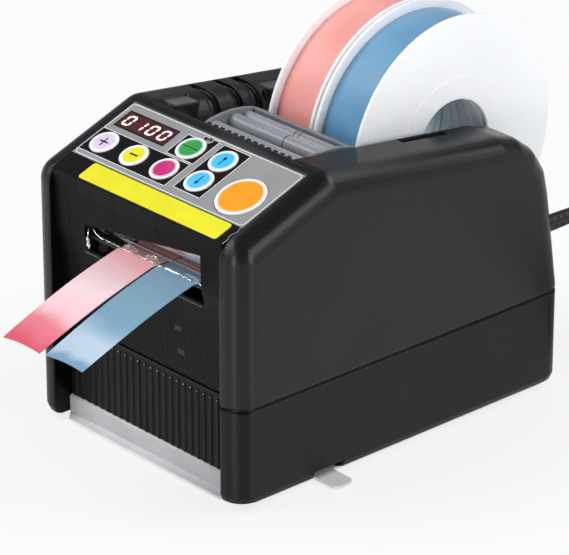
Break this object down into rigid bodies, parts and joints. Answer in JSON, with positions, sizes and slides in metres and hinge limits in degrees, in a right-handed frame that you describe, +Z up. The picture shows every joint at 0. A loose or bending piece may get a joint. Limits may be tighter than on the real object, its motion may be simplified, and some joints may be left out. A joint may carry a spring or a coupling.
{
  "type": "electric tape dispenser",
  "caption": "Electric dispenser for tape or ribbon: a black housing with a sloping keypad, a hinged front cover over the cutter, and spools on rollers behind.",
  "frame": {"origin": "bottom centre of the dispenser with its tapes and spools, on the surface that it stands on", "axes": "+Y from the front, where the tape comes out, towards the rear; +X towards the start key's side; +Z up"},
  "size_m": [0.2243, 0.427, 0.183],
  "materials": {
    "housing_black": "fine moulded texture with soft highlights on the rounded edges",
    "housing_lower": "fine moulded texture",
    "ribbed_black": "fine vertical ribs",
    "cover_black": "satin with faint vertical streaks",
    "steel_plate": "bright sheet steel",
    "steel": "plated steel",
    "screw_steel": "zinc plated",
    "spring_steel": "bright spring strip",
    "blade_steel": "ground",
    "foot_rubber": "dull",
    "strip_grey": "satin",
    "label_yellow": "smooth film",
    "guide_black": "satin",
    "tape_pink": "slightly translucent film",
    "tape_blue": "slightly translucent film",
    "panel_grey": "smooth membrane",
    "display_red": "dark red filter window",
    "key_lilac": "smooth",
    "key_yellow": "smooth",
    "key_magenta": "smooth",
    "key_green": "smooth",
    "key_cyan": "smooth",
    "key_orange": "smooth",
    "board_green": "circuit board with parts",
    "bush_brass": "turned",
    "rubber_dark": "ground rubber",
    "rubber_light": "ground rubber",
    "gear_white": "moulded",
    "motor_grey": "plated can",
    "carrier_grey": "moulded",
    "guide_grey": "smoky satin",
    "roller_grey": "satin",
    "cradle_black": "moulded",
    "flange_white": "smooth white",
    "wound_pink": "wound film edges",
    "wound_blue": "wound film edges",
    "web_film": "film",
    "cord_black": "smooth sheath",
    "pin_brass": "plated",
    "switch_black": "glossy",
    "rocker_red": "glossy red"
  },
  "bodies": {
    "housing": {"upper_housing": "housing_black", "base_housing": "housing_lower", "base_plate": "steel_plate", "front_strip": "strip_grey", "rubber_feet": "foot_rubber", "ribbed_panel": "ribbed_black", "cover_hinge_pin": "steel", "keypad_panel": "panel_grey", "display_window": "display_red", "control_board": "board_green", "chassis": "steel", "shaft_bushes": "bush_brass", "cross_rods": "steel", "feed_motor": "motor_grey", "fixed_blade": "blade_steel", "blade_guides": "gear_white", "cutter_motor": "motor_grey", "spool_cradle": "cradle_black", "ribbon_webs": "web_film", "power_switch": "switch_black", "power_board": "board_green", "housing_screws": "screw_steel", "strain_relief": "cord_black", "power_cord": "cord_black", "cord_coil": "cord_black", "cord_tie": "cord_black", "plug_body": "cord_black", "plug_pins": "pin_brass"},
    "cover": {"front_cover": "cover_black", "yellow_strip": "label_yellow", "outlet_guide": "guide_black", "press_spring": "spring_steel", "ribbon_tail_pink": "tape_pink", "ribbon_tail_blue": "tape_blue"},
    "feed_unit": {"feed_shaft": "steel", "feed_roller": "rubber_dark", "feed_gear": "gear_white"},
    "motor_pinion": {"motor_pinion": "gear_white"},
    "pinch_roller": {"pinch_roller": "rubber_light"},
    "cutter": {"moving_blade": "blade_steel", "blade_carrier": "carrier_grey"},
    "cutter_pinion": {"cutter_pinion": "gear_white"},
    "guide_unit": {"guide_frame": "guide_grey"},
    "guide_roller_front": {"guide_roller_front": "roller_grey"},
    "guide_roller_middle": {"guide_roller_middle": "roller_grey"},
    "guide_roller_rear": {"guide_roller_rear": "roller_grey"},
    "cradle_roller_front": {"cradle_roller_front": "roller_grey"},
    "cradle_roller_rear": {"cradle_roller_rear": "roller_grey"},
    "spool_left": {"spool_left": "flange_white", "wound_pink": "wound_pink"},
    "spool_right": {"spool_right": "flange_white", "wound_blue": "wound_blue"},
    "power_rocker": {"power_rocker": "rocker_red"},
    "key_plus": {"key_plus": "key_lilac"},
    "key_minus": {"key_minus": "key_yellow"},
    "key_select": {"key_select": "key_magenta"},
    "key_mode": {"key_mode": "key_green"},
    "key_up": {"key_up": "key_cyan"},
    "key_down": {"key_down": "key_cyan"},
    "key_start": {"key_start": "key_orange"}
  },
  "joints": [
    {"name": "cover_hinge", "type": "hinge", "parent": "housing", "child": "cover", "pos_m": [0, -0.071, 0.0526], "axis": [1, 0, 0], "range_deg": [0, 60]},
    {"name": "press_plus", "type": "slide", "parent": "housing", "child": "key_plus", "axis": [0, 0.3486, -0.9373], "range_m": [0, 0.0005], "stiffness_N_per_m": 600, "springref_m": -0.0005},
    {"name": "press_minus", "type": "slide", "parent": "housing", "child": "key_minus", "axis": [0, 0.3486, -0.9373], "range_m": [0, 0.0005], "stiffness_N_per_m": 600, "springref_m": -0.0005},
    {"name": "press_select", "type": "slide", "parent": "housing", "child": "key_select", "axis": [0, 0.3486, -0.9373], "range_m": [0, 0.0005], "stiffness_N_per_m": 600, "springref_m": -0.0005},
    {"name": "press_mode", "type": "slide", "parent": "housing", "child": "key_mode", "axis": [0, 0.3486, -0.9373], "range_m": [0, 0.0005], "stiffness_N_per_m": 600, "springref_m": -0.0005},
    {"name": "press_up", "type": "slide", "parent": "housing", "child": "key_up", "axis": [0, 0.3486, -0.9373], "range_m": [0, 0.0005], "stiffness_N_per_m": 600, "springref_m": -0.0005},
    {"name": "press_down", "type": "slide", "parent": "housing", "child": "key_down", "axis": [0, 0.3486, -0.9373], "range_m": [0, 0.0005], "stiffness_N_per_m": 600, "springref_m": -0.0005},
    {"name": "press_start", "type": "slide", "parent": "housing", "child": "key_start", "axis": [0, 0.3486, -0.9373], "range_m": [0, 0.0005], "stiffness_N_per_m": 600, "springref_m": -0.0005},
    {"name": "guide_hinge", "type": "hinge", "parent": "housing", "child": "guide_unit", "pos_m": [0, -0.019, 0.1293], "axis": [1, 0, 0], "range_deg": [0, 60]},
    {"name": "guide_front_spin", "type": "hinge", "parent": "guide_unit", "child": "guide_roller_front", "pos_m": [0, -0.0164, 0.1362], "axis": [1, 0, 0], "continuous": true},
    {"name": "guide_middle_spin", "type": "hinge", "parent": "guide_unit", "child": "guide_roller_middle", "pos_m": [0, -0.0042, 0.1367], "axis": [1, 0, 0], "continuous": true},
    {"name": "guide_rear_spin", "type": "hinge", "parent": "guide_unit", "child": "guide_roller_rear", "pos_m": [0, 0.0036, 0.1363], "axis": [1, 0, 0], "continuous": true},
    {"name": "feed_spin", "type": "hinge", "parent": "housing", "child": "feed_unit", "pos_m": [0, -0.043, 0.0887], "axis": [1, 0, 0], "continuous": true},
    {"name": "motor_spin", "type": "hinge", "parent": "housing", "child": "motor_pinion", "pos_m": [0, -0.043, 0.0657], "axis": [1, 0, 0], "continuous": true},
    {"name": "pinch_spin", "type": "hinge", "parent": "housing", "child": "pinch_roller", "pos_m": [0, -0.043, 0.1057], "axis": [1, 0, 0], "continuous": true},
    {"name": "blade_slide", "type": "slide", "parent": "housing", "child": "cutter", "axis": [0, 0, -1], "range_m": [0, 0.008]},
    {"name": "cutter_spin", "type": "hinge", "parent": "housing", "child": "cutter_pinion", "pos_m": [0, -0.055, 0.066], "axis": [1, 0, 0], "range_deg": [-2, 80]},
    {"name": "carry_front_spin", "type": "hinge", "parent": "housing", "child": "cradle_roller_front", "pos_m": [0, 0.043, 0.06225], "axis": [1, 0, 0], "continuous": true},
    {"name": "carry_rear_spin", "type": "hinge", "parent": "housing", "child": "cradle_roller_rear", "pos_m": [0, 0.105, 0.06225], "axis": [1, 0, 0], "continuous": true},
    {"name": "spool_left_spin", "type": "hinge", "parent": "housing", "child": "spool_left", "pos_m": [-0.006, 0.074, 0.12198], "axis": [1, 0, 0], "continuous": true},
    {"name": "spool_right_spin", "type": "hinge", "parent": "housing", "child": "spool_right", "pos_m": [0.024, 0.074, 0.12198], "axis": [1, 0, 0], "continuous": true},
    {"name": "power_rocker_tilt", "type": "hinge", "parent": "housing", "child": "power_rocker", "pos_m": [-0.04, 0.1165, 0.027], "axis": [1, 0, 0], "range_deg": [0, 16]}
  ],
  "couplings": [
    {"joint": "motor_spin", "follows": "feed_spin", "ratio": -2.2857},
    {"joint": "pinch_spin", "follows": "feed_spin", "ratio": -1.2857},
    {"joint": "cutter_spin", "follows": "blade_slide", "rad_per_m": 166.67}
  ]
}
